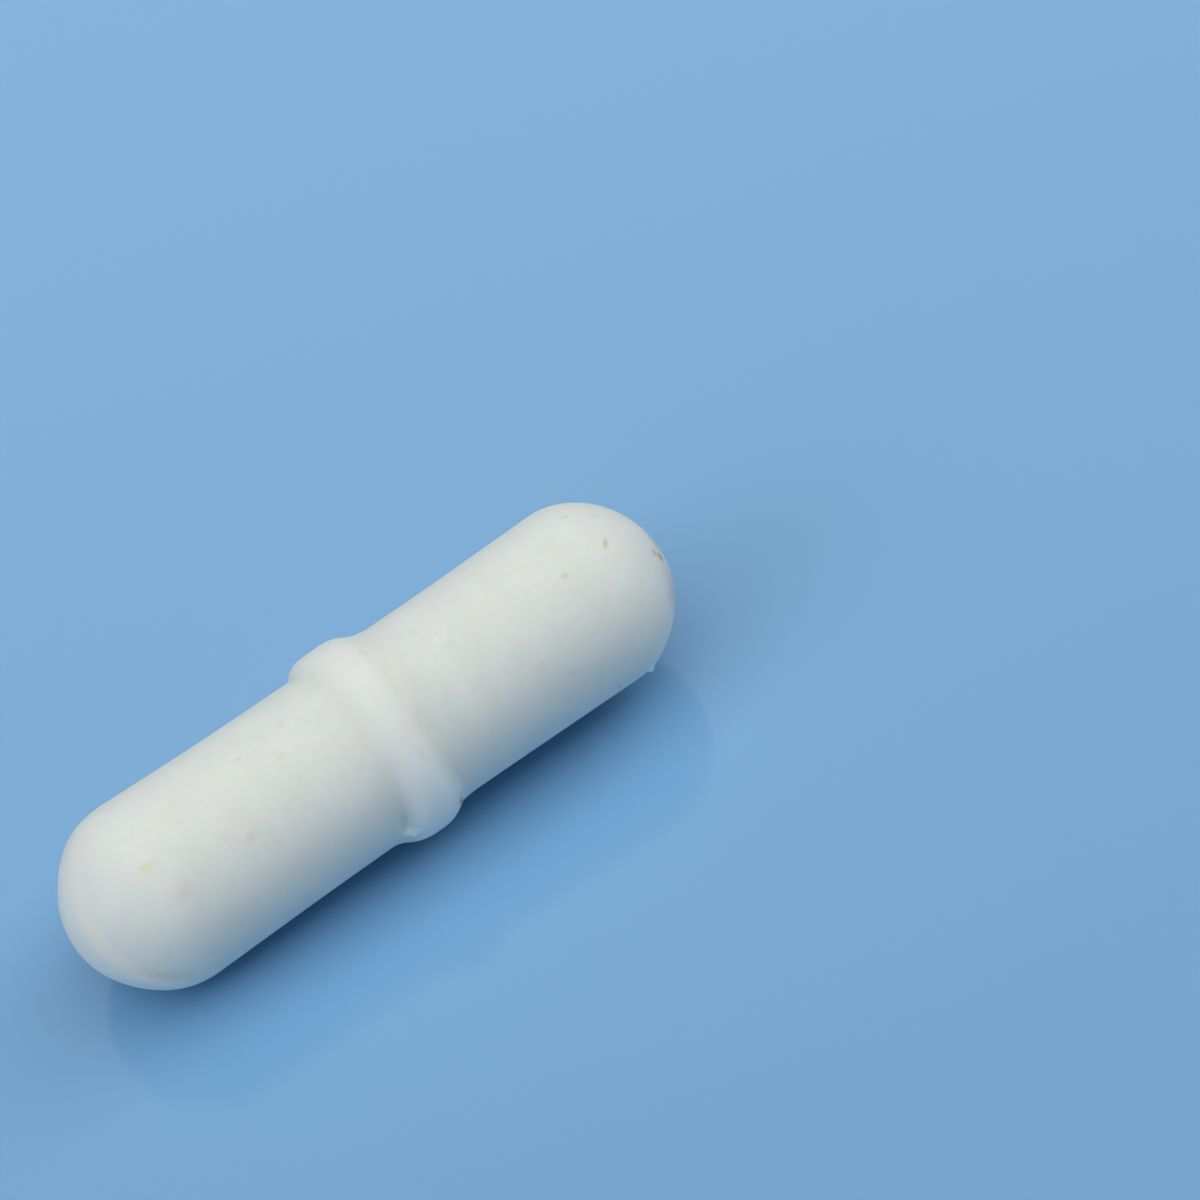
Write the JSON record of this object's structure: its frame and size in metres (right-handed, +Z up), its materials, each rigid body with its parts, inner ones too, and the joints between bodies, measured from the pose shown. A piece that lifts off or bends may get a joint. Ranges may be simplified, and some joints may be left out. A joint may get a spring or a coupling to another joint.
{
  "type": "magnetic stir bar",
  "caption": "White stir bar with domed ends and a raised pivot ring round its middle: a magnet rod sealed in a moulded PTFE jacket, spun by a drive magnet under a vessel.",
  "frame": {"origin": "on the floor of the vessel, under the middle of the pivot ring, on the upright axis that the bar spins about", "axes": "+Z up; +X along the bar over the floor, from the end that touches the floor to the end that stands clear of it; the bar itself tilts up towards +X by 1.9 degrees, as it lies on its ring and its low end"},
  "size_m": [0.0249, 0.0076, 0.0077],
  "materials": {
    "ptfe": "waxy satin, as moulded, with small stains from use",
    "magnet_alloy": "ground, unpolished"
  },
  "bodies": {
    "root": {"jacket": "ptfe", "magnet": "magnet_alloy"}
  },
  "joints": []
}
